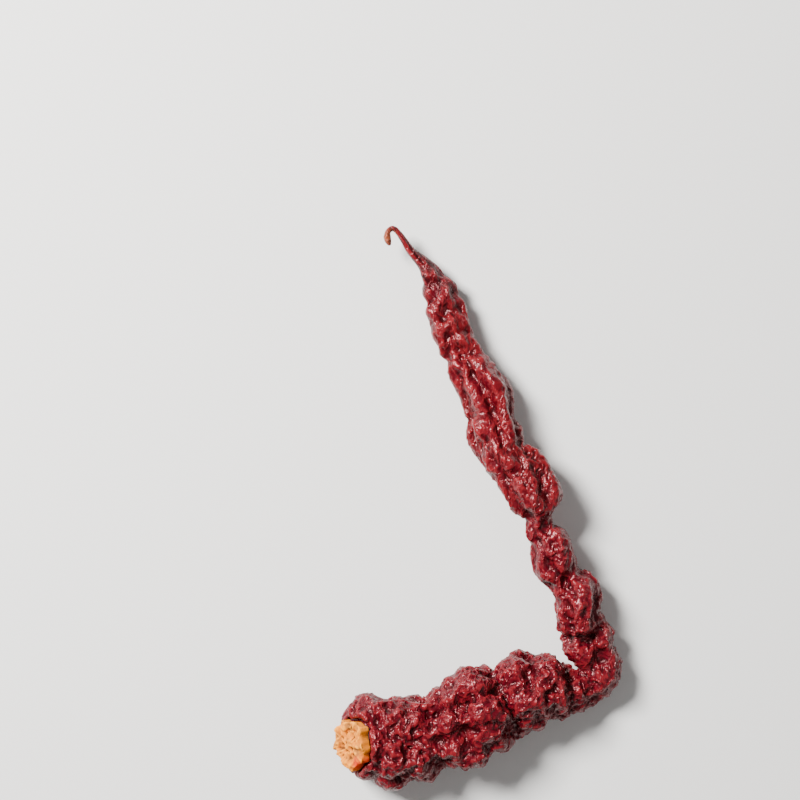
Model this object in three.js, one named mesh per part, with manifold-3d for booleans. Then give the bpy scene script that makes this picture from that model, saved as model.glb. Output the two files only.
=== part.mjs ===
// A dried red chilli pepper, lying down. One long wrinkled pod starts thick at its stem end, pinches and
// turns back on itself, and thins to a hooked tip. The stem is gone, and its pale torn seat is left in the
// thick end. Millimetres, +Z up, resting on the plane z = 0, with +Y running towards the tip.
import * as THREE from "three";
import { mergeVertices } from "three/addons/utils/BufferGeometryUtils.js";
import Module from "manifold-3d";

// The pod's thick body, from the stem end to the pinch.
// Each station is its centre x, y, z, then half of the pod's width and half of its height there.
const BODY_STATIONS = [
  [-23, -44.6, 8.7, 6.1, 5.6],
  [-21.6, -44.5, 7.7, 6.8, 6],
  [-19.7, -44.5, 6.9, 7.5, 6.4],
  [-16.6, -44.8, 6.5, 8.2, 6.6],
  [-12.6, -44.5, 6.2, 7.6, 6.4],
  [-8.3, -43.2, 6.1, 7.2, 6.3],
  [-3.9, -41.6, 6.5, 8, 6.7],
  [0.3, -39.2, 6.7, 8, 6.8],
  [4.7, -37.4, 5.6, 6.9, 5.3],
  [8.6, -35.8, 6, 7.1, 5.9],
  [12.2, -35.2, 5.6, 6.4, 5.6],
  [15.4, -35.4, 4.8, 5.1, 4.8],
  [17.7, -35.4, 4.4, 3.9, 4],
];

// The tight curl past the pinch, which tucks under the tail.
const CURL_STATIONS = [
  [16.8, -35.4, 4.3, 3.3, 3.6],
  [18.6, -35.2, 4, 3.8, 4],
  [20.4, -34.7, 3.9, 3.4, 3.8],
  [22.1, -33.5, 3.8, 3.3, 3.8],
  [23, -31.3, 3.9, 3.6, 4],
  [22.7, -28.8, 4, 4.2, 4.1],
  [21.6, -26.2, 4, 4.7, 3.9],
  [20.6, -23.6, 4.2, 4.2, 3.5],
  [19.7, -20.8, 4.9, 3.4, 3.1],
];

// The pod's tail, from its lip over the curl to the hooked tip.
const TAIL_STATIONS = [
  [19.5, -23.2, 5.3, 3.8, 4.4],
  [19.2, -21.2, 5.4, 3.5, 4.4],
  [19, -18.3, 5.6, 3.6, 4.3],
  [18.4, -16.1, 5.8, 3.5, 4.1],
  [16.8, -13.7, 6.1, 3.1, 3.7],
  [15.1, -11.3, 6.5, 3.6, 3.9],
  [14.1, -9, 6.8, 3.8, 3.9],
  [13.2, -6.9, 7, 3.5, 3.7],
  [11.9, -4.6, 7.2, 2.5, 3],
  [11.5, -2, 7.4, 3, 3.4],
  [10.7, 1.1, 7.4, 4.5, 4.4],
  [8.4, 5.3, 7.2, 4.6, 4.7],
  [4.9, 9.6, 6.7, 4.1, 4.4],
  [3.2, 13.9, 6.2, 4.5, 4.4],
  [2.5, 17.7, 5.7, 4.1, 4],
  [1.1, 21.5, 5.3, 4.2, 4],
  [-1, 25.1, 4.8, 3.6, 3.7],
  [-3, 28.9, 4.3, 3.3, 3.4],
  [-4.8, 32.7, 3.9, 3.1, 3.3],
  [-6.1, 36.5, 3.6, 3.2, 3.2],
  [-7.4, 40.3, 3.5, 2.8, 2.9],
  [-9, 43.5, 3.6, 2, 2.2],
  [-10.6, 46, 3.9, 1.45, 1.5],
  [-13.1, 48.5, 4.4, 0.95, 1],
  [-14.4, 50.4, 4.8, 0.75, 0.8],
  [-15.5, 51.9, 5.2, 0.65, 0.7],
  [-16.5, 52.8, 5.6, 0.6, 0.7],
  [-17.5, 52.1, 5.9, 0.6, 0.7],
  [-17.6, 50.7, 5.8, 0.85, 0.9],
  [-17.2, 49.6, 5.6, 0.5, 0.6],
];

// Long furrows pressed into each part: where each starts and ends along it, its angle round the part at each
// end, its depth and its width.
const BODY_FURROWS = [
  { from: 8, to: 34, angleFrom: 2.3, angleTo: 1.9, depth: 0.7, width: 0.3 },
  { from: 14, to: 44, angleFrom: 4.3, angleTo: 4.9, depth: 0.8, width: 0.35 },
];
const CURL_FURROWS = [{ from: 6, to: 17, angleFrom: 1.1, angleTo: 1.6, depth: 0.4, width: 0.3 }];
const TAIL_FURROWS = [
  { from: 6, to: 32, angleFrom: 1.9, angleTo: 2.4, depth: 0.6, width: 0.3 },
  { from: 30, to: 66, angleFrom: 1.2, angleTo: 1.9, depth: 0.8, width: 0.32 },
  { from: 10, to: 56, angleFrom: 5.0, angleTo: 4.4, depth: 0.8, width: 0.35 },
];

// The skin's nets: points round each part, and the longest step along it. It shortens where the pod is thin.
const BODY_NET = { around: 42, longestStep: 1.1 };
const CURL_NET = { around: 30, longestStep: 1.15 };
const TAIL_NET = { around: 30, longestStep: 0.98 };
const STEP_BASE = 0.45;
const STEP_PER_HALF_WIDTH = 0.2;

// How the parts close: rings to a rounded end, and how far the first and the last end bulge.
const CAP_RINGS = 4;
const STEM_CAP_BULGE = 1.5;
const BODY_BULGES = [STEM_CAP_BULGE, 1];
const CURL_BULGES = [1, 1];
const TAIL_BULGES = [1.2, 0.4];

// The pod's collapsed section: shallow lobes that wander round it.
const LOBES = [
  { count: 2, depth: 0.035, turnLength: 61, start: 0.4 },
  { count: 3, depth: 0.045, turnLength: 47, start: 2.1 },
  { count: 5, depth: 0.03, turnLength: 33, start: 5.2 },
];

// Dents and bumps of the shrunken flesh, strewn over it: one for this much skin, with a radius and a depth.
const SKIN_PER_DENT = 17;
const DENT_RADIUS = [1.5, 2.8];
const DENT_DEPTH = [-0.35, 0.6];

// The buckling of the skin. Growth is how much longer the skin is than the dried flesh under it.
const BODY_GROWTH = { round: 0.37, along: 0.34 };
const CURL_GROWTH = { round: 0.22, along: 0.2 };
const TAIL_GROWTH = { round: 0.46, along: 0.18 };
const POLE_CALM = 0.72;
const SEAT_CALM = 4.8;
const SEAT_BUCKLED = 6.2;
const THIN_HALF_WIDTH = 0.8;
const FULL_HALF_WIDTH = 2.6;
const CROWDED = 0.45;
const ROOMY = 0.9;
const BUCKLE_STEPS = 140;
const FIRST_ROUGHNESS = 0.5;
const STRETCH_SHARE = 0.42;
const BEND_SHARE = 0.09;
const FLESH_PULL = 0.03;
const SLIDE_PULL = 0.2;
const SEED = 20;

// The torn stem seat: a corky disc that fills the end, half sunk into it.
const SEAT_RADIUS = 4.9;
const SEAT_POINTS_ROUND = 44;
const SEAT_RINGS = 11;
const SEAT_BELOW = 1.5;
const SEAT_EDGE_RISE = 0.55;
const SEAT_RIM_RISE = 0.75;
const SEAT_MIDDLE_RISE = 0.9;
const SEAT_GAP = 0.3;
const POCKET_REACH = 6;

const UP = new THREE.Vector3(0, 0, 1);

// Repeatable random numbers from 0 to 1.
let randomState = SEED;
function random() {
  randomState = (randomState * 1664525 + 1013904223) % 4294967296;
  return randomState / 4294967296;
}

function smoothStep(value, low, high) {
  const share = Math.min(1, Math.max(0, (value - low) / (high - low)));
  return share * share * (3 - 2 * share);
}

// One part of the pod: its centre line, its sizes along it, its length, its furrows and its dents.
function podPart(stations, furrows, growth, net, bulges) {
  const places = stations.map(([x, y, z]) => new THREE.Vector3(x, y, z));
  const halves = stations.map((station) => new THREE.Vector3(station[3], station[4], 0));
  const spine = new THREE.CatmullRomCurve3(places, false, "centripetal");
  spine.arcLengthDivisions = 1500;
  const sizes = new THREE.CatmullRomCurve3(halves, false, "catmullrom", 0.4);
  const length = spine.getLength();
  const meanHalf = halves.reduce((sum, half) => sum + (half.x + half.y) / 2, 0) / halves.length;
  const dentCount = Math.round((length * 2 * Math.PI * meanHalf) / SKIN_PER_DENT);
  const dents = Array.from({ length: dentCount }, () => ({
    distance: random() * length,
    angle: random() * 2 * Math.PI,
    radius: THREE.MathUtils.lerp(...DENT_RADIUS, random()),
    depth: THREE.MathUtils.lerp(...DENT_DEPTH, random()),
  }));
  const [startBulge, endBulge] = bulges;
  return { spine, sizes, length, furrows, dents, growth, net, startBulge, endBulge };
}

// The section of a part at a distance along it: its centre, its own axes and its half sizes.
function sectionAt(part, distance) {
  const t = part.spine.getUtoTmapping(distance / part.length);
  const tangent = part.spine.getTangent(t);
  const side = new THREE.Vector3().crossVectors(tangent, UP).normalize();
  const up = new THREE.Vector3().crossVectors(side, tangent).normalize();
  const size = part.sizes.getPoint(t);
  return {
    distance,
    centre: part.spine.getPoint(t),
    tangent,
    side,
    up,
    halfWidth: size.x,
    halfHeight: size.y,
    cap: 1,
  };
}

// The same section drawn in and pushed out along the pod, as a ring of a rounded end.
function capRing(section, ring, bulge) {
  const angle = (ring / CAP_RINGS) * (Math.PI / 2);
  const centre = section.centre.clone().addScaledVector(section.tangent, bulge * Math.cos(angle));
  return { ...section, centre, cap: Math.sin(angle) };
}

function sectionsOf(part) {
  const start = sectionAt(part, 0);
  const end = sectionAt(part, part.length);
  const sections = [];
  for (let ring = 1; ring < CAP_RINGS; ring++) sections.push(capRing(start, ring, -part.startBulge));
  let distance = 0;
  while (distance < part.length - STEP_BASE) {
    const section = sectionAt(part, distance);
    sections.push(section);
    distance += Math.min(part.net.longestStep, STEP_BASE + STEP_PER_HALF_WIDTH * section.halfWidth);
  }
  sections.push(end);
  for (let ring = CAP_RINGS - 1; ring > 0; ring--) sections.push(capRing(end, ring, part.endBulge));
  return sections;
}

const body = podPart(BODY_STATIONS, BODY_FURROWS, BODY_GROWTH, BODY_NET, BODY_BULGES);
const curl = podPart(CURL_STATIONS, CURL_FURROWS, CURL_GROWTH, CURL_NET, CURL_BULGES);
const tail = podPart(TAIL_STATIONS, TAIL_FURROWS, TAIL_GROWTH, TAIL_NET, TAIL_BULGES);

// The seat's own frame: out of the pod's end, at the middle of its cap.
const stemEnd = sectionAt(body, 0);
const seatOut = stemEnd.tangent.clone().negate();
const seatCentre = stemEnd.centre.clone().addScaledVector(seatOut, STEM_CAP_BULGE);

// How far in a part's furrows press the skin at an angle round it and a distance along it.
function furrowDepth(part, angle, distance) {
  let depth = 0;
  for (const furrow of part.furrows) {
    const share = (distance - furrow.from) / (furrow.to - furrow.from);
    if (share <= 0 || share >= 1) continue;
    const middle = furrow.angleFrom + (furrow.angleTo - furrow.angleFrom) * share;
    const off = (angle - middle) / furrow.width;
    depth += furrow.depth * Math.sin(Math.PI * share) * Math.exp(-off * off);
  }
  return depth;
}

// How far in the dents press the skin there. The thin end has none.
function dentDepth(part, section, angle) {
  let depth = 0;
  for (const dent of part.dents) {
    const along = (section.distance - dent.distance) / dent.radius;
    if (Math.abs(along) > 2.5) continue;
    const turn = Math.abs(angle - dent.angle);
    const round = (Math.min(turn, 2 * Math.PI - turn) * section.halfWidth) / dent.radius;
    depth += dent.depth * Math.exp(-along * along - round * round);
  }
  return depth * buckleShare(section);
}

// The dried flesh: the surface that the skin lies on before it buckles.
function fleshPoint(part, section, angle) {
  let swell = 1;
  for (const lobe of LOBES) {
    const turn = (section.distance / lobe.turnLength) * 2 * Math.PI + lobe.start;
    swell += lobe.depth * Math.cos(lobe.count * angle + turn);
  }
  const pressed = furrowDepth(part, angle, section.distance) + dentDepth(part, section, angle);
  const across = (section.halfWidth * swell - pressed) * section.cap;
  const high = (section.halfHeight * swell - pressed) * section.cap;
  return section.centre
    .clone()
    .addScaledVector(section.side, across * Math.cos(angle))
    .addScaledVector(section.up, high * Math.sin(angle));
}

// How strongly the skin buckles at a section: less as the pod thins or closes, and not at all at its poles.
function buckleShare(section) {
  return (
    smoothStep(section.cap, POLE_CALM, 1) *
    smoothStep(section.halfWidth, THIN_HALF_WIDTH, FULL_HALF_WIDTH)
  );
}

// The six neighbours of a skin point, or fewer at the ends. Every other ring is turned by half a step, so
// the net is made of nearly even triangles and can fold in any direction.
function neighboursOf(ring, point, ringCount, around) {
  const at = (otherRing, otherPoint) => otherRing * around + ((otherPoint + around) % around);
  const beside = ring % 2 ? [point, point + 1] : [point - 1, point];
  const found = [at(ring, point - 1), at(ring, point + 1)];
  for (const otherRing of [ring - 1, ring + 1]) {
    if (otherRing < 0 || otherRing === ringCount) continue;
    found.push(...beside.map((otherPoint) => at(otherRing, otherPoint)));
  }
  return found;
}

function skinNeighbours(ringCount, around) {
  return Array.from({ length: ringCount * around }, (_, index) =>
    neighboursOf(Math.floor(index / around), index % around, ringCount, around),
  );
}

// How strongly the skin buckles at each of its points: not where it meets the stem seat, and not where the
// inside of a bend crowds it together.
function buckleShares(flesh, sections, around) {
  return flesh.map((place, index) => {
    const ring = Math.floor(index / around);
    const before = Math.max(0, ring - 1);
    const after = Math.min(sections.length - 1, ring + 1);
    const point = index % around;
    const gap = flesh[after * around + point].distanceTo(flesh[before * around + point]);
    const step = sections[after].centre.distanceTo(sections[before].centre);
    const seatCalm = smoothStep(place.distanceTo(seatCentre), SEAT_CALM, SEAT_BUCKLED);
    return buckleShare(sections[ring]) * seatCalm * smoothStep(gap / step, CROWDED, ROOMY);
  });
}

// The pairs of neighbouring skin points, with the length that the skin between them still has.
function skinThreads(flesh, shares, neighbours, growth, around) {
  const slanting = growth.along * 0.75 + growth.round * 0.25;
  const threads = [];
  neighbours.forEach((others, a) => {
    for (const b of others) {
      if (b < a) continue;
      const sameRing = Math.floor(a / around) === Math.floor(b / around);
      const extra = (sameRing ? growth.round : slanting) * Math.min(shares[a], shares[b]);
      threads.push({ a, b, length: flesh[a].distanceTo(flesh[b]) * (1 + extra) });
    }
  });
  return threads;
}

// The outward direction at each skin point of the flesh.
function fleshNormals(flesh, sections, around) {
  return flesh.map((place, index) => {
    const ring = Math.floor(index / around);
    const point = index % around;
    const before = flesh[Math.max(0, ring - 1) * around + point];
    const after = flesh[Math.min(sections.length - 1, ring + 1) * around + point];
    const left = flesh[ring * around + ((point + around - 1) % around)];
    const right = flesh[ring * around + ((point + 1) % around)];
    const round = right.clone().sub(left);
    const normal = new THREE.Vector3().crossVectors(round, after.clone().sub(before)).normalize();
    const outward = place.clone().sub(sections[ring].centre);
    return normal.dot(outward) < 0 ? normal.negate() : normal;
  });
}

// How far each skin point's value is from the mean of its neighbours' values.
function awayFromNeighbours(values, neighbours) {
  return values.map((own, index) => {
    const mean = new THREE.Vector3();
    for (const other of neighbours[index]) mean.add(values[other]);
    return own.clone().sub(mean.divideScalar(neighbours[index].length));
  });
}

// The skin keeps most of its length while the flesh shrinks, so it buckles into wrinkles. Each step pushes
// the threads of the skin towards their own length, smooths its bends, and lets the flesh draw it back.
function buckledSkin(flesh, sections, growth, around) {
  const normals = fleshNormals(flesh, sections, around);
  const shares = buckleShares(flesh, sections, around);
  const neighbours = skinNeighbours(sections.length, around);
  const threads = skinThreads(flesh, shares, neighbours, growth, around);
  const skin = flesh.map((place, index) =>
    place.clone().addScaledVector(normals[index], (random() - 0.5) * FIRST_ROUGHNESS * shares[index]),
  );
  const between = new THREE.Vector3();
  for (let step = 0; step < BUCKLE_STEPS; step++) {
    for (const { a, b, length } of threads) {
      between.subVectors(skin[b], skin[a]);
      const now = between.length();
      between.multiplyScalar((STRETCH_SHARE * (now - length)) / now / 2);
      skin[a].add(between);
      skin[b].sub(between);
    }
    const lift = skin.map((place, index) => place.clone().sub(flesh[index]));
    const bend = awayFromNeighbours(awayFromNeighbours(lift, neighbours), neighbours);
    lift.forEach((own, index) => {
      own.addScaledVector(bend[index], -BEND_SHARE);
      const outward = own.dot(normals[index]);
      const sideways = own.clone().addScaledVector(normals[index], -outward);
      const freedom = Math.min(1, shares[index] * 4);
      own.addScaledVector(sideways, -SLIDE_PULL).multiplyScalar((1 - FLESH_PULL) * freedom);
      skin[index].addVectors(flesh[index], own);
      skin[index].z = Math.max(0, skin[index].z);
    });
  }
  return skin;
}

// A closed geometry from rings of points, with one more point closing each end.
function ringsGeometry(points, around, first, last) {
  const ringCount = points.length / around;
  const corners = [...points, first, last];
  const faces = [];
  const firstCorner = points.length;
  const lastCorner = points.length + 1;
  for (let point = 0; point < around; point++) {
    const next = (point + 1) % around;
    faces.push([firstCorner, next, point]);
    for (let ring = 0; ring + 1 < ringCount; ring++) {
      const here = ring * around;
      const there = here + around;
      if (ring % 2) {
        faces.push([here + point, here + next, there + next]);
        faces.push([here + point, there + next, there + point]);
      } else {
        faces.push([here + point, here + next, there + point]);
        faces.push([here + next, there + next, there + point]);
      }
    }
    const end = (ringCount - 1) * around;
    faces.push([end + point, end + next, lastCorner]);
  }
  const geometry = new THREE.BufferGeometry();
  const numbers = corners.flatMap((corner) => corner.toArray());
  geometry.setAttribute("position", new THREE.Float32BufferAttribute(numbers, 3));
  geometry.setIndex(faces.flat());
  return geometry;
}

// Solids for the one cut, made from closed geometries and turned back into them.
const wasm = await Module();
wasm.setup();

function solidFrom(geometry) {
  const merged = mergeVertices(geometry.clone().deleteAttribute("normal").deleteAttribute("uv"), 1e-4);
  const vertProperties = new Float32Array(merged.attributes.position.array);
  const triVerts = new Uint32Array(merged.index.array);
  const solid = new wasm.Manifold(new wasm.Mesh({ numProp: 3, vertProperties, triVerts }));
  if (solid.volume() > 0) return solid;
  for (let corner = 0; corner < triVerts.length; corner += 3) {
    [triVerts[corner + 1], triVerts[corner + 2]] = [triVerts[corner + 2], triVerts[corner + 1]];
  }
  return new wasm.Manifold(new wasm.Mesh({ numProp: 3, vertProperties, triVerts }));
}

function geometryFrom(solid) {
  const { vertProperties, triVerts } = solid.getMesh();
  const geometry = new THREE.BufferGeometry();
  geometry.setAttribute("position", new THREE.BufferAttribute(vertProperties, 3));
  geometry.setIndex(new THREE.BufferAttribute(triVerts, 1));
  return geometry;
}

// The ragged outline of the stem seat, as a radius at each angle round it.
function seatRadius(angle) {
  const lobes = 0.06 * Math.sin(3 * angle + 0.8) + 0.06 * Math.sin(5 * angle + 2.2);
  const tears = 0.05 * Math.sin(9 * angle + 0.5) + 0.035 * Math.sin(14 * angle + 1.9);
  return SEAT_RADIUS * (0.95 + lobes + tears);
}

// How high the seat stands at an angle and a share of its radius: a torn rim, a dip, and a corky middle.
function seatRise(angle, share) {
  const ragged = 1 + 0.5 * Math.sin(4 * angle + 1);
  const rim = SEAT_RIM_RISE * Math.exp(-(((share - 0.78) / 0.13) ** 2)) * ragged;
  const middle = SEAT_MIDDLE_RISE * Math.exp(-((share / 0.38) ** 2));
  const crumbs = 0.28 * Math.sin(7 * angle + 9 * share) * Math.sin(3 * angle - 11 * share + 2);
  const edge = SEAT_EDGE_RISE * smoothStep(share, 0.8, 1);
  return rim + middle + crumbs * smoothStep(share, 0.05, 0.3) + edge;
}

function seatPoint(angle, radius, rise) {
  return seatCentre
    .clone()
    .addScaledVector(stemEnd.side, radius * Math.cos(angle))
    .addScaledVector(stemEnd.up, radius * Math.sin(angle))
    .addScaledVector(seatOut, rise);
}

function seatGeometry() {
  const points = [];
  const turn = (2 * Math.PI) / SEAT_POINTS_ROUND;
  const angles = Array.from({ length: SEAT_POINTS_ROUND }, (_, index) => index * turn);
  for (let ring = 1; ring <= SEAT_RINGS; ring++) {
    const share = ring / SEAT_RINGS;
    for (const angle of angles) {
      points.push(seatPoint(angle, seatRadius(angle) * share, seatRise(angle, share)));
    }
  }
  for (const share of [0.97, 0.55]) {
    for (const angle of angles) points.push(seatPoint(angle, seatRadius(angle) * share, -SEAT_BELOW));
  }
  const top = seatPoint(0, 0, seatRise(0, 0));
  const bottom = seatPoint(0, 0, -SEAT_BELOW);
  return ringsGeometry(points, SEAT_POINTS_ROUND, top, bottom);
}

// The room that the seat takes in the pod's end, with a small gap all round.
function pocketGeometry() {
  const points = [];
  for (const rise of [POCKET_REACH, -SEAT_BELOW - SEAT_GAP]) {
    for (let index = 0; index < SEAT_POINTS_ROUND; index++) {
      const angle = (index / SEAT_POINTS_ROUND) * 2 * Math.PI;
      points.push(seatPoint(angle, seatRadius(angle) + SEAT_GAP, rise));
    }
  }
  const above = seatPoint(0, 0, POCKET_REACH);
  const below = seatPoint(0, 0, -SEAT_BELOW - SEAT_GAP);
  return ringsGeometry(points, SEAT_POINTS_ROUND, above, below);
}

// One part of the pod as a solid, wrinkled and closed at both ends.
function wrinkledSolid(part) {
  const { around } = part.net;
  const sections = sectionsOf(part);
  const flesh = sections.flatMap((section, ring) =>
    Array.from({ length: around }, (_, point) => {
      const turn = (point + (ring % 2) / 2) / around;
      return fleshPoint(part, section, turn * 2 * Math.PI);
    }),
  );
  const skin = buckledSkin(flesh, sections, part.growth, around);
  const start = sectionAt(part, 0);
  const end = sectionAt(part, part.length);
  const first = start.centre.clone().addScaledVector(start.tangent, -part.startBulge);
  const last = end.centre.clone().addScaledVector(end.tangent, part.endBulge);
  return solidFrom(ringsGeometry(skin, around, first, last));
}

function podGeometry() {
  const whole = wrinkledSolid(body).add(wrinkledSolid(curl)).add(wrinkledSolid(tail));
  return geometryFrom(whole.subtract(solidFrom(pocketGeometry())));
}

const skinRed = new THREE.MeshStandardMaterial({ color: 0x7a1218, roughness: 0.38, metalness: 0 });
const corkCream = new THREE.MeshStandardMaterial({ color: 0xd9ae6c, roughness: 0.9, metalness: 0 });

const pod = new THREE.Mesh(podGeometry(), skinRed);
pod.name = "pod";

const stemSeat = new THREE.Mesh(geometryFrom(solidFrom(seatGeometry())), corkCream);
stemSeat.name = "stem_seat";

// The middle of the whole chilli goes over the origin.
const wholeBox = new THREE.Box3().setFromObject(pod).union(new THREE.Box3().setFromObject(stemSeat));
const middle = wholeBox.getCenter(new THREE.Vector3());
pod.geometry.translate(-middle.x, -middle.y, 0);
stemSeat.geometry.translate(-middle.x, -middle.y, 0);

const chilli = new THREE.Group();
chilli.add(pod, stemSeat);

export default chilli;
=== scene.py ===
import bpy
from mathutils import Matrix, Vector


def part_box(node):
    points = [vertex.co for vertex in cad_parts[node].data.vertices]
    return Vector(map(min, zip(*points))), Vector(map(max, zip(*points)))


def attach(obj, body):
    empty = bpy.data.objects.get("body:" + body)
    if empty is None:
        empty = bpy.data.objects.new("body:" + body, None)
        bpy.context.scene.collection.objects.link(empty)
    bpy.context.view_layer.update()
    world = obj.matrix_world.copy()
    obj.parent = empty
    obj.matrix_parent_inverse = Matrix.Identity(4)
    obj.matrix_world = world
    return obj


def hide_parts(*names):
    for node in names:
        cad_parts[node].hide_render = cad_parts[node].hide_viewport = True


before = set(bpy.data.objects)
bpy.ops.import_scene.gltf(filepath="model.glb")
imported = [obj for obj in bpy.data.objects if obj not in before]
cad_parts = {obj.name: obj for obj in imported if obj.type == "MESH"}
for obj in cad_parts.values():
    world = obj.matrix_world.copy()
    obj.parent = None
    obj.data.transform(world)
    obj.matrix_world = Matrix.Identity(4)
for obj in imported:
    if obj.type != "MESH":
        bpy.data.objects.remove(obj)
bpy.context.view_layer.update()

import bmesh
import bpy
import numpy as np
from mathutils import Vector, noise

# The skin: the dried fruit wall of the pod. It dried and shrank round air and seeds, and the waxy outer skin
# shrank less than the flesh under it, so it is buckled all over into a maze of narrow glossy wrinkles.
# It is one grown piece from the torn stem end to the hooked tip.
SKIN_CELL = 0.00029
SKIN_SMOOTHING = 6

# How it buckles: it grows by a share of its length while soft threads hold it to the flesh.
SKIN_GROWTH = 0.10
SKIN_STEPS = 120
FIRST_UNEVENNESS = 0.00003
THREAD_STIFFNESS = 0.20
BENDING = 0.20
FLESH_PULL = 0.005
SLIDE_PULL = 0.12

# Where it buckles less: near the middle of the seat, along Y towards the tip, and in patches.
SEAT_RIM, SEAT_RIM_FADE = 0.0050, 0.0012
TIP_CALM_END, TIP_CALM_FADE, TIP_SHARE = 0.0470, 0.011, 0.15
PATCH_SIZE, PATCH_MEAN, PATCH_SWING, PATCH_LEAST, PATCH_MOST = 0.006, 0.85, 0.5, 0.3, 1.3
THINNING_END, THINNING_LENGTH, THINNING_SHARE = 0.060, 0.045, 0.35

# The tail's lumps are softer, from where it leaves the curl to its thin end.
TAIL_START = -0.020
TAIL_SMOOTHING = 20
CALM_SHARE, CALM_START_FADE, CALM_END, CALM_END_FADE = 0.85, 0.010, 0.040, 0.006
TAIL_STRETCH = 2.2
TAIL_LOSS, TAIL_LOSS_LENGTH = 0.25, 0.015

# Folds and threads on top of the buckling: how far apart, and how high.
FOLDS = ((0.0027, 0.00032), (0.0016, 0.00018))
THREADS = ((0.0030, 0.00032), (0.0018, 0.00024))
FOLD_LEVEL, THREAD_LEVEL = 0.3, 0.4
FOLD_WIDTH, THREAD_WIDTH = 0.75, 0.22
WANDER_SIZE, WANDER = 0.003, 0.0011
RELIEF_SMOOTHING, RELIEF_RISE = 14, 0.00012

# This near-black is painted shade, laid in the furrows and in the streak grooves on the thin end.
SKIN_SHADE = (0.012, 0.0004, 0.0012, 1)
SKIN_BODY = (0.076, 0.0013, 0.0058, 1)
SKIN_TAIL = (0.060, 0.0009, 0.0026, 1)
# This pale pink is a painted highlight, laid on the crests and on the raised threads.
SKIN_SHEEN = (0.215, 0.011, 0.015, 1)
BODY_TO_TAIL = (-0.010, 0.010)
# The first two shares say how strongly painted shade goes into the furrows and painted highlight onto the
# crests.
FURROW_SHADE_SHARE, CREST_HIGHLIGHT_SHARE, TIP_BROWN_SHARE = 0.85, 0.6, 0.85
# How much painted highlight the raised threads get on the body and on the tail.
THREAD_HIGHLIGHT_SHARES = (0.25, 0.55)
FINENESS_SHARES = (1.0, 0.75)
SKIN_GLOSS = (0.22, 0.38)
LENGTHWISE, STREAKWISE = (1.0, 0.55, 1.0), (1.0, 0.12, 1.0)
PATCH_SCALE, GRAIN_SCALE, WANDER_SCALE = 160.0, 1500.0, 500.0
FACET_SCALE, FACET_RISE = 480.0, 0.00028
THREAD_LINES = ((560.0, 0.00016), (950.0, 0.00003))
STREAK_SCALE, STREAK_RISE = 1700.0, -0.00016
GRAIN_RISE = 0.000015
THIN_END = (0.036, 0.043)
TIP_BROWN = (0.280, 0.070, 0.025, 1)
TIP_PLACE = (-0.0175, 0.0512, 0.0055)
TIP_RADII = (0.0026, 0.0010)
TIP_TURN = -0.66


def merged_copy(node, name):
    """A copy of a CAD node's mesh as a new object, with its doubled points merged."""
    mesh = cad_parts[node].data.copy()
    mesh.name = name
    mesh.materials.clear()
    bm = bmesh.new()
    bm.from_mesh(mesh)
    bmesh.ops.remove_doubles(bm, verts=bm.verts, dist=2e-6)
    bmesh.ops.recalc_face_normals(bm, faces=bm.faces)
    bm.to_mesh(mesh)
    bm.free()
    copy = bpy.data.objects.new(name, mesh)
    bpy.context.scene.collection.objects.link(copy)
    return copy


def rebuilt_evenly(piece, cell):
    """The same shape on an even net of small four-sided faces."""
    remesh = piece.modifiers.new("even", "REMESH")
    remesh.mode = "VOXEL"
    remesh.voxel_size = cell
    remesh.use_smooth_shade = True
    bpy.context.view_layer.update()
    even = bpy.data.meshes.new_from_object(piece.evaluated_get(bpy.context.evaluated_depsgraph_get()))
    piece.modifiers.clear()
    piece.data = even
    even.name = piece.name


class Net:
    """A piece's points and the threads between them, as arrays, for letting its skin shrink and buckle."""

    def __init__(self, mesh):
        self.places = np.empty(len(mesh.vertices) * 3)
        mesh.vertices.foreach_get("co", self.places)
        self.places = self.places.reshape(-1, 3)
        self.count = len(self.places)
        corners = np.empty(len(mesh.loops), int)
        mesh.loops.foreach_get("vertex_index", corners)
        self.faces = corners.reshape(-1, 4)
        sides = np.concatenate([self.faces[:, [k, (k + 1) % 4]] for k in range(4)])
        self.sides = np.unique(np.sort(sides, axis=1), axis=0)
        crossings = np.sort(np.concatenate([self.faces[:, [0, 2]], self.faces[:, [1, 3]]]), axis=1)
        self.threads = np.concatenate([self.sides, crossings])
        ends = self.sides.T.ravel()
        self.neighbours = np.maximum(1, np.bincount(ends, minlength=self.count))[:, None]

    def gathered(self, ends, values):
        """The sum of the values that end at each point."""
        columns = [np.bincount(ends, values[:, k], self.count) for k in range(values.shape[1])]
        return np.stack(columns, axis=1)

    def mean_of_neighbours(self, values):
        a, b = self.sides.T
        total = self.gathered(np.concatenate([a, b]), np.concatenate([values[b], values[a]]))
        return total / self.neighbours

    def smoothed(self, values, rounds):
        for _ in range(rounds):
            values = 0.5 * values + 0.5 * self.mean_of_neighbours(values)
        return values

    def outward(self, places):
        """The outward direction at each point, with the points at the given places."""
        p = places[self.faces]
        face = np.cross(p[:, 2] - p[:, 0], p[:, 3] - p[:, 1])
        total = self.gathered(self.faces.ravel(), np.repeat(face, 4, axis=0))
        return total / np.maximum(1e-12, np.linalg.norm(total, axis=1))[:, None]


def field(places, size, seed, depth=1):
    """Smooth noise from about -1 to 1 at each place, with patches of about the given size."""
    shift = Vector((seed * 13.7, seed * -7.3, seed * 3.1))
    return np.array([noise.fractal(Vector(p) / size + shift, 0.6, 2.1, depth) for p in places.tolist()])


def folds(places, size, seed):
    """A net of sharp folds with hollow facets between them, about the given size apart, from 0 to 1."""
    shift = Vector((seed * 5.3, seed * -2.9, seed * 7.7))
    near = np.array([noise.voronoi(Vector(p) / size + shift)[0][:2] for p in places.tolist()])
    return (1 - np.clip((near[:, 1] - near[:, 0]) / FOLD_WIDTH, 0, 1)) ** 2


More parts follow.
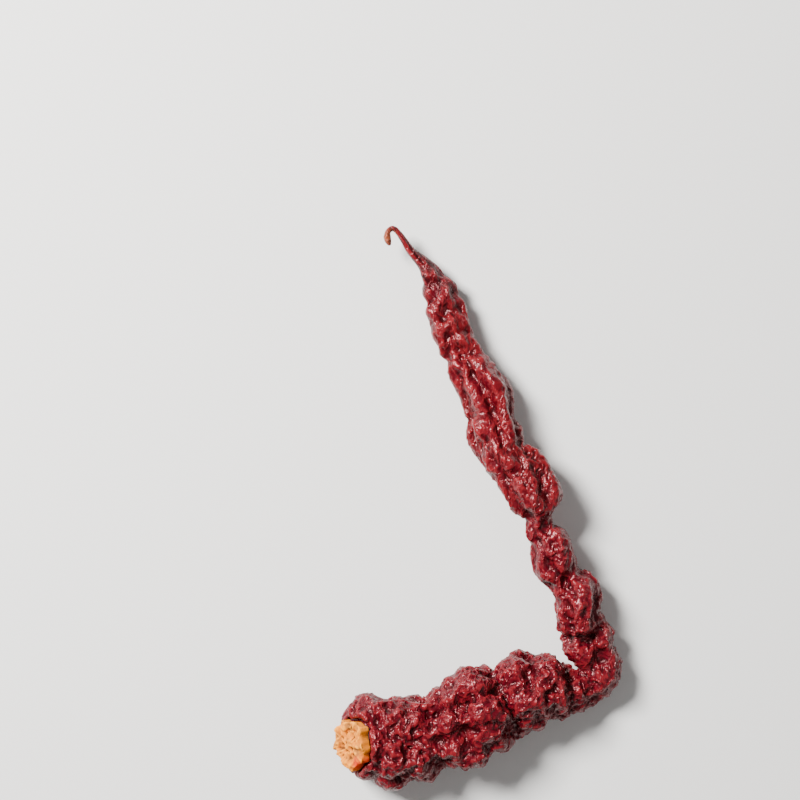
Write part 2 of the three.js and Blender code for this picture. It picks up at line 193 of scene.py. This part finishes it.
def threads(places, size, seed):
    """Long winding raised threads, about the given size apart, from 0 to 1."""
    return np.clip(1 - np.abs(field(places, size, seed)) / THREAD_WIDTH, 0, 1)


def faded(along, start, length):
    """0 up to the start, and 1 from the given length beyond it."""
    return np.clip((along - start) / length, 0, 1)


def buckled(net, flesh, share):
    """The skin after it has buckled over its shrunken flesh."""
    out = net.outward(flesh)
    a, b = net.threads.T
    rest = np.linalg.norm(flesh[a] - flesh[b], axis=1)
    rest *= 1 + SKIN_GROWTH * np.minimum(share[a], share[b])
    ends = np.concatenate([a, b])
    chance = np.random.default_rng(7)
    lift = out * (chance.standard_normal(net.count) * FIRST_UNEVENNESS * share)[:, None]
    for _ in range(SKIN_STEPS):
        skin = flesh + lift
        across = skin[b] - skin[a]
        now = np.linalg.norm(across, axis=1)
        push = across * (THREAD_STIFFNESS * 0.5 * (now - rest) / now)[:, None]
        lift = lift + net.gathered(ends, np.concatenate([push, -push]))
        bend = lift - net.mean_of_neighbours(lift)
        bend = bend - net.mean_of_neighbours(bend)
        lift -= BENDING * bend
        upright = (lift * out).sum(axis=1)[:, None] * out
        lift = upright + (lift - upright) * (1 - SLIDE_PULL)
        lift *= (1 - FLESH_PULL) * np.minimum(1, share * 5)[:, None]
    return flesh + lift


def kept_in_box(places, node):
    """The places drawn in to the box of their CAD node. Heights are only cut off at its floor and top."""
    low, high = (np.array(corner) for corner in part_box(node))
    own_low, own_high = places.min(axis=0), places.max(axis=0)
    new_low, new_high = np.maximum(own_low, low), np.minimum(own_high, high)
    drawn = new_low + (places - own_low) * (new_high - new_low) / (own_high - own_low)
    drawn[:, 2] = np.clip(places[:, 2], low[2], high[2])
    return drawn


def relief_of(net, places, rounds, rise):
    """How each place stands to the smoothed surface, from 0 in a hollow to 1 on a crest."""
    smooth = net.smoothed(places, rounds)
    relief = ((places - smooth) * net.outward(smooth)).sum(axis=1) / rise
    return np.clip(relief * 0.5 + 0.5, 0, 1)


def shaped(piece, places, relief):
    """Moves a piece's points to the places and keeps their relief for its material."""
    piece.data.vertices.foreach_set("co", places.ravel())
    kept = piece.data.attributes.new("relief", "FLOAT", "POINT")
    kept.data.foreach_set("value", relief)
    piece.data.update()
    print(piece.name, len(piece.data.vertices), "points", len(piece.data.polygons) * 2, "triangles")


skin = merged_copy("pod", "skin")
rebuilt_evenly(skin, SKIN_CELL)
net = Net(skin.data)
flesh = net.smoothed(net.places, SKIN_SMOOTHING)
calm = faded(flesh[:, 1], TAIL_START, CALM_START_FADE)
calm = calm * np.clip((CALM_END - flesh[:, 1]) / CALM_END_FADE, 0, 1) * CALM_SHARE
flesh = flesh + (net.smoothed(flesh, TAIL_SMOOTHING) - flesh) * calm[:, None]
seat_low, seat_high = (np.array(corner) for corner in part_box("stem_seat"))
seat_middle = (seat_low + seat_high) / 2
from_seat = np.linalg.norm(flesh - seat_middle, axis=1)
share = faded(from_seat, SEAT_RIM, SEAT_RIM_FADE)
tip_thinness = np.clip((TIP_CALM_END - flesh[:, 1]) / TIP_CALM_FADE, 0, 1)
share = share * (TIP_SHARE + (1 - TIP_SHARE) * tip_thinness)
share *= np.clip(PATCH_MEAN + PATCH_SWING * field(flesh, PATCH_SIZE, 1), PATCH_LEAST, PATCH_MOST)
share *= np.clip((THINNING_END - flesh[:, 1]) / THINNING_LENGTH, THINNING_SHARE, 1)
wrinkled = buckled(net, flesh, share)
spread = wrinkled + np.stack([field(flesh, WANDER_SIZE, seed, 2) for seed in (5, 6, 7)], axis=1) * WANDER
tail = spread[:, 1] > TAIL_START
spread[tail, 1] = TAIL_START + (spread[tail, 1] - TAIL_START) / TAIL_STRETCH
out = net.outward(net.smoothed(wrinkled, 4))
share *= 1 - TAIL_LOSS * faded(wrinkled[:, 1], TAIL_START, TAIL_LOSS_LENGTH)
for size, rise in FOLDS:
    wrinkled = wrinkled + out * (rise * share * (folds(spread, size, 3) - FOLD_LEVEL))[:, None]
for size, rise in THREADS:
    wrinkled = wrinkled + out * (rise * share * (threads(spread, size, 4) - THREAD_LEVEL))[:, None]
wrinkled = kept_in_box(wrinkled, "pod")
shaped(skin, wrinkled, relief_of(net, wrinkled, RELIEF_SMOOTHING, RELIEF_RISE))


def new_material(name):
    """A named node material with its shader, a function that adds nodes, and one that joins them."""
    material = bpy.data.materials.new(name)
    material.use_nodes = True
    tree = material.node_tree
    shader = tree.nodes["Principled BSDF"]

    def add(kind, **settings):
        node = tree.nodes.new(kind)
        for key, value in settings.items():
            if hasattr(node, key):
                setattr(node, key, value)
            else:
                node.inputs[key.replace("_", " ").title()].default_value = value
        return node

    return material, shader, add, tree.links.new


def pattern(add, link, vector, kind, **settings):
    """A texture node at the given places."""
    node = add(kind, **settings)
    link(vector, node.inputs["Vector"])
    return node


def moved(add, link, vector, **settings):
    """The places scaled or turned by a mapping node."""
    node = add("ShaderNodeMapping", **settings)
    link(vector, node.inputs["Vector"])
    return node.outputs["Vector"]


def from_place(add, link, vector, centre):
    """The distance of each place from the centre."""
    node = add("ShaderNodeVectorMath", operation="DISTANCE")
    link(vector, node.inputs[0])
    node.inputs[1].default_value = centre
    return node.outputs["Value"]


def product(add, link, first, second):
    """A node that multiplies two sockets."""
    node = add("ShaderNodeMath", operation="MULTIPLY")
    link(first, node.inputs[0])
    link(second, node.inputs[1])
    return node.outputs["Value"]


def colour_mix(add, link, factor, first, second):
    """A node that mixes two colours, either given or taken from a socket, by the socket factor."""
    mix = add("ShaderNodeMix", data_type="RGBA")
    link(factor, mix.inputs[0])
    for socket, colour in ((mix.inputs[6], first), (mix.inputs[7], second)):
        if isinstance(colour, tuple):
            socket.default_value = colour
        else:
            link(colour, socket)
    return mix.outputs[2]


def ranged(add, link, value, low, high, to_low=0.0, to_high=1.0):
    """A node that spreads a value's range over another, held at its ends."""
    node = add("ShaderNodeMapRange")
    link(value, node.inputs["Value"])
    for name, number in (("From Min", low), ("From Max", high), ("To Min", to_low), ("To Max", to_high)):
        node.inputs[name].default_value = number
    return node.outputs["Result"]


def bumped(add, link, height, rise, below=None, strength=None):
    """A bump node, laid over the one below it where there is one."""
    bump = add("ShaderNodeBump", distance=rise)
    link(height, bump.inputs["Height"])
    if below is not None:
        link(below, bump.inputs["Normal"])
    if strength is not None:
        link(strength, bump.inputs["Strength"])
    return bump.outputs["Normal"]


skin_look, shader, add, link = new_material("chilli_skin")
place = add("ShaderNodeTexCoord").outputs["Object"]
split = add("ShaderNodeSeparateXYZ")
link(place, split.inputs[0])
ridge = add("ShaderNodeAttribute", attribute_name="relief").outputs["Fac"]
patches = pattern(add, link, place, "ShaderNodeTexNoise", scale=PATCH_SCALE, detail=4.0, roughness=0.6)
grain = pattern(add, link, place, "ShaderNodeTexNoise", scale=GRAIN_SCALE, detail=5.0, roughness=0.65)
along = ranged(add, link, split.outputs["Y"], *BODY_TO_TAIL)

# The threads wind lengthwise: the places are drawn out along Y and wander a little.
wander = pattern(add, link, place, "ShaderNodeTexNoise", scale=WANDER_SCALE, detail=2.0)
shift = add("ShaderNodeVectorMath", operation="MULTIPLY_ADD")
link(wander.outputs["Color"], shift.inputs[0])
shift.inputs[1].default_value = (WANDER, WANDER, WANDER)
link(moved(add, link, place, scale=LENGTHWISE), shift.inputs[2])
thread_lines = []
for scale, rise in THREAD_LINES:
    winding = pattern(add, link, shift.outputs["Vector"], "ShaderNodeTexNoise", scale=scale, detail=1.0)
    middle = add("ShaderNodeMath", operation="PINGPONG")
    link(winding.outputs["Fac"], middle.inputs[0])
    middle.inputs[1].default_value = 0.5
    thread_lines.append((ranged(add, link, middle.outputs["Value"], 0.43, 0.5), rise))

# Painted shade dark in the furrows, painted highlight pale on the crests and threads, dark streaks of
# painted shade in the grooves on the thin end, and brown at the tip.
ground = colour_mix(add, link, along, SKIN_BODY, SKIN_TAIL)
deep_patch = ranged(add, link, patches.outputs["Fac"], 0.42, 0.68)
ground = colour_mix(add, link, deep_patch, ground, SKIN_BODY)
# Painted shade: the skin's hollows are coloured near-black.
furrow_shade = ranged(add, link, ridge, 0.40, 0.0, 0.0, FURROW_SHADE_SHARE)
ground = colour_mix(add, link, furrow_shade, ground, SKIN_SHADE)
# Painted highlight: the crests are coloured pale pink, as if they caught the lamp.
crest_highlight = ranged(add, link, ridge, 0.66, 1.0, 0.0, CREST_HIGHLIGHT_SHARE)
ground = colour_mix(add, link, crest_highlight, ground, SKIN_SHEEN)
# Painted highlight: the raised thread lines are coloured pale, more strongly on the tail.
thread_highlight = product(add, link, thread_lines[0][0], ranged(add, link, along, 0.0, 1.0, *THREAD_HIGHLIGHT_SHARES))
ground = colour_mix(add, link, thread_highlight, ground, SKIN_SHEEN)
turned = moved(add, link, place, rotation=(0, 0, TIP_TURN))
lengthwise = moved(add, link, turned, scale=STREAKWISE)
streaks = pattern(add, link, lengthwise, "ShaderNodeTexNoise", scale=STREAK_SCALE, detail=3.0)
streak_lines = ranged(add, link, streaks.outputs["Fac"], 0.42, 0.62)
streak_grooves = product(add, link, streak_lines, ranged(add, link, split.outputs["Y"], *THIN_END))
# Painted shade: the streak grooves on the thin end are coloured near-black.
ground = colour_mix(add, link, streak_grooves, ground, SKIN_SHADE)
tip = ranged(add, link, from_place(add, link, place, TIP_PLACE), *TIP_RADII, 0.0, TIP_BROWN_SHARE)
ground = colour_mix(add, link, tip, ground, TIP_BROWN)
link(ground, shader.inputs["Base Color"])
gloss = ranged(add, link, grain.outputs["Fac"], 0.3, 0.7, *SKIN_GLOSS)
link(gloss, shader.inputs["Roughness"])
shader.inputs["Specular IOR Level"].default_value = 0.5
shader.inputs["Specular Tint"].default_value = (1.0, 0.45, 0.45, 1)
shader.inputs["Subsurface Weight"].default_value = 0.04
shader.inputs["Subsurface Radius"].default_value = (1.0, 0.12, 0.08)
shader.inputs["Subsurface Scale"].default_value = 0.0008

# Its finest folds: small facets between thin raised threads, fainter on the tail, then streaks and a grain.
fineness = ranged(add, link, along, 0.0, 1.0, *FINENESS_SHARES)
voronoi = "ShaderNodeTexVoronoi"
facets = pattern(add, link, shift.outputs["Vector"], voronoi, distance="MANHATTAN", scale=FACET_SCALE)
fine_folds = bumped(add, link, facets.outputs["Distance"], FACET_RISE, strength=fineness)
for thread_line, rise in thread_lines:
    fine_folds = bumped(add, link, thread_line, rise, fine_folds, fineness)
fine_folds = bumped(add, link, streak_grooves, STREAK_RISE, fine_folds)
fine_folds = bumped(add, link, grain.outputs["Fac"], GRAIN_RISE, fine_folds)
link(fine_folds, shader.inputs["Normal"])
skin.data.materials.append(skin_look)

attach(skin, "root")
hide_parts("pod")

# The stem seat: the corky disc where the stem broke out of the pod. It is dry torn fibre, golden cream with
# tan patches and pits, painted dark in its pits and hollows as shade, and red on one side where skin still
# clings to it. It grew into the thick end all round.
SEAT_CELL = 0.00016
SEAT_OUT = np.array((-0.81, -0.06, 0.58))
SEAT_ACROSS = np.array((0.0, 1.0, 0.10))

# Crumbs as size, seed and rise, then folds, and fibres that run out from the middle like a fan.
SEAT_CRUMBS = ((0.0024, 3, 0.00050), (0.0007, 4, 0.00008))
SEAT_FOLD_SIZE, SEAT_FOLD_RISE = 0.0022, 0.00030
FAN_RADIUS, FAN_REACH, FAN_FADE = 0.0036, 0.3, 0.002
FAN_START = 0.4
SEAT_FIBRE_SIZE, SEAT_FIBRE_LEVEL, SEAT_FIBRE_RISE = 0.0013, 0.3, 0.00026

# The torn face has all of that. The sides, sunk in the skin, have a little of it and are drawn in.
SEAT_FACE_TURN = 0.35
SEAT_SIDE_SHARE = 0.1
SEAT_SIDE_INSET = 0.00010

# Pits as place across, place above, radius and depth.
SEAT_PITS = (
    (-0.0010, 0.0013, 0.0006, 0.0008),
    (0.0007, 0.0005, 0.0004, 0.0006),
    (-0.0002, -0.0009, 0.0008, 0.0009),
    (0.0016, -0.0012, 0.0004, 0.0005),
)
SEAT_RELIEF_SMOOTHING, SEAT_RELIEF_RISE = 8, 0.00008
SEAT_CREAM = (0.720, 0.200, 0.006, 1)
SEAT_PALE = (0.860, 0.310, 0.022, 1)
SEAT_TAN = (0.300, 0.110, 0.022, 1)
# This dark brown is painted shade for the seat's hollows and pits.
SEAT_HOLLOW_SHADE = (0.070, 0.025, 0.010, 1)
SEAT_RED = (0.560, 0.015, 0.004, 1)
SEAT_RED_PLACE = (-0.0216, -0.0480, 0.0112)
SEAT_RED_RADII, SEAT_RED_SHARE = (0.0028, 0.0016), 0.85
SEAT_PATCH_SCALE = 420.0
SEAT_GRAIN_SCALE, SEAT_GRAIN_RISE = 3000.0, 0.0001

seat = merged_copy("stem_seat", "seat")
rebuilt_evenly(seat, SEAT_CELL)
net = Net(seat.data)
cork = net.smoothed(net.places, 2)
out = net.outward(net.smoothed(cork, 8))
crumbs = sum(field(cork, size, seed, 2) * rise for size, seed, rise in SEAT_CRUMBS)
crumbs = crumbs + (folds(cork, SEAT_FOLD_SIZE, 9) - FOLD_LEVEL) * SEAT_FOLD_RISE
up = np.cross(SEAT_OUT, SEAT_ACROSS)
across, above = (cork - seat_middle) @ SEAT_ACROSS, (cork - seat_middle) @ up
round_it, reach = np.arctan2(above, across), np.hypot(above, across)
fan = np.stack([np.cos(round_it) * FAN_RADIUS, np.sin(round_it) * FAN_RADIUS, reach * FAN_REACH], axis=1)
fibres = (threads(fan, SEAT_FIBRE_SIZE, 12) - SEAT_FIBRE_LEVEL) * SEAT_FIBRE_RISE
crumbs = crumbs + fibres * np.clip(reach / FAN_FADE - FAN_START, 0, 1)
torn_face = np.clip((out @ SEAT_OUT) / SEAT_FACE_TURN, 0, 1)
crumbs = crumbs - SEAT_SIDE_INSET * (1 - torn_face)
crumbs = crumbs * (SEAT_SIDE_SHARE + (1 - SEAT_SIDE_SHARE) * torn_face)
crumbled = cork + out * crumbs[:, None]
for pit_across, pit_above, radius, depth in SEAT_PITS:
    from_pit = cork - (seat_middle + SEAT_ACROSS * pit_across + up * pit_above)
    from_pit = from_pit - (from_pit @ SEAT_OUT)[:, None] * SEAT_OUT
    pit = np.clip(1 - (from_pit ** 2).sum(axis=1) / radius ** 2, 0, 1) ** 2
    crumbled = crumbled - SEAT_OUT * (depth * pit * (out @ SEAT_OUT > 0.2))[:, None]
crumbled = net.smoothed(crumbled, 1)
seat_relief = relief_of(net, crumbled, SEAT_RELIEF_SMOOTHING, SEAT_RELIEF_RISE)
shaped(seat, kept_in_box(crumbled, "stem_seat"), seat_relief)

seat_look, shader, add, link = new_material("corky_seat")
place = add("ShaderNodeTexCoord").outputs["Object"]
ridge = add("ShaderNodeAttribute", attribute_name="relief").outputs["Fac"]
patches = pattern(add, link, place, "ShaderNodeTexNoise", scale=SEAT_PATCH_SCALE, detail=5.0, roughness=0.65)
grain = pattern(add, link, place, "ShaderNodeTexNoise", scale=SEAT_GRAIN_SCALE, detail=4.0, roughness=0.7)
ground = colour_mix(add, link, ranged(add, link, patches.outputs["Fac"], 0.38, 0.54), SEAT_TAN, SEAT_CREAM)
ground = colour_mix(add, link, ranged(add, link, ridge, 0.55, 1.0), ground, SEAT_PALE)
red = ranged(add, link, from_place(add, link, place, SEAT_RED_PLACE), *SEAT_RED_RADII, 0.0, SEAT_RED_SHARE)
ground = colour_mix(add, link, red, ground, SEAT_RED)
# Painted shade: the seat's hollows and pits are coloured dark brown.
ground = colour_mix(add, link, ranged(add, link, ridge, 0.35, 0.0), ground, SEAT_HOLLOW_SHADE)
link(ground, shader.inputs["Base Color"])
shader.inputs["Roughness"].default_value = 0.9
shader.inputs["Specular IOR Level"].default_value = 0.1
bump = add("ShaderNodeBump", strength=0.6, distance=SEAT_GRAIN_RISE)
link(grain.outputs["Fac"], bump.inputs["Height"])
link(bump.outputs["Normal"], shader.inputs["Normal"])
seat.data.materials.append(seat_look)

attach(seat, "root")
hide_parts("stem_seat")

# The table that the chilli lies on: a plain pale floor.
bpy.ops.mesh.primitive_plane_add(size=3, location=(0, 0, -0.00005))
floor = bpy.context.object
floor.name = "floor"
floor_look, shader = new_material("pale_floor")[:2]
shader.inputs["Base Color"].default_value = (0.80, 0.78, 0.75, 1)
shader.inputs["Roughness"].default_value = 0.8
floor.data.materials.append(floor_look)

# The light: a soft lamp up on the left, a weak wide one on the right, and a pale sky.
KEY_PLACE, KEY_SIZE, KEY_POWER = (-0.32, 0.24, 0.42), 0.18, 12.5
FILL_PLACE, FILL_SIZE, FILL_POWER = (0.45, -0.30, 0.50), 0.4, 0.8
SKY_POWER = 0.21
for name, lamp_place, size, power in (
    ("key", KEY_PLACE, KEY_SIZE, KEY_POWER),
    ("fill", FILL_PLACE, FILL_SIZE, FILL_POWER),
):
    lamp = bpy.data.objects.new(name, bpy.data.lights.new(name, "AREA"))
    lamp.data.size = size
    lamp.data.energy = power
    lamp.location = lamp_place
    lamp.rotation_euler = Vector(lamp_place).to_track_quat("Z", "Y").to_euler()
    bpy.context.scene.collection.objects.link(lamp)
sky = bpy.data.worlds.new("sky")
sky.use_nodes = True
sky.node_tree.nodes["Background"].inputs["Color"].default_value = (0.95, 0.97, 1.0, 1)
sky.node_tree.nodes["Background"].inputs["Strength"].default_value = SKY_POWER
bpy.context.scene.world = sky

# The camera looks straight down, as the photograph does. It takes in about 152 mm.
camera = bpy.data.objects.new("camera", bpy.data.cameras.new("camera"))
camera.data.lens = 100
camera.data.sensor_width = 36
camera.data.clip_start = 0.01
camera.location = (-0.0149, 0.0205, 0.4282)
bpy.context.scene.collection.objects.link(camera)
bpy.context.scene.camera = camera
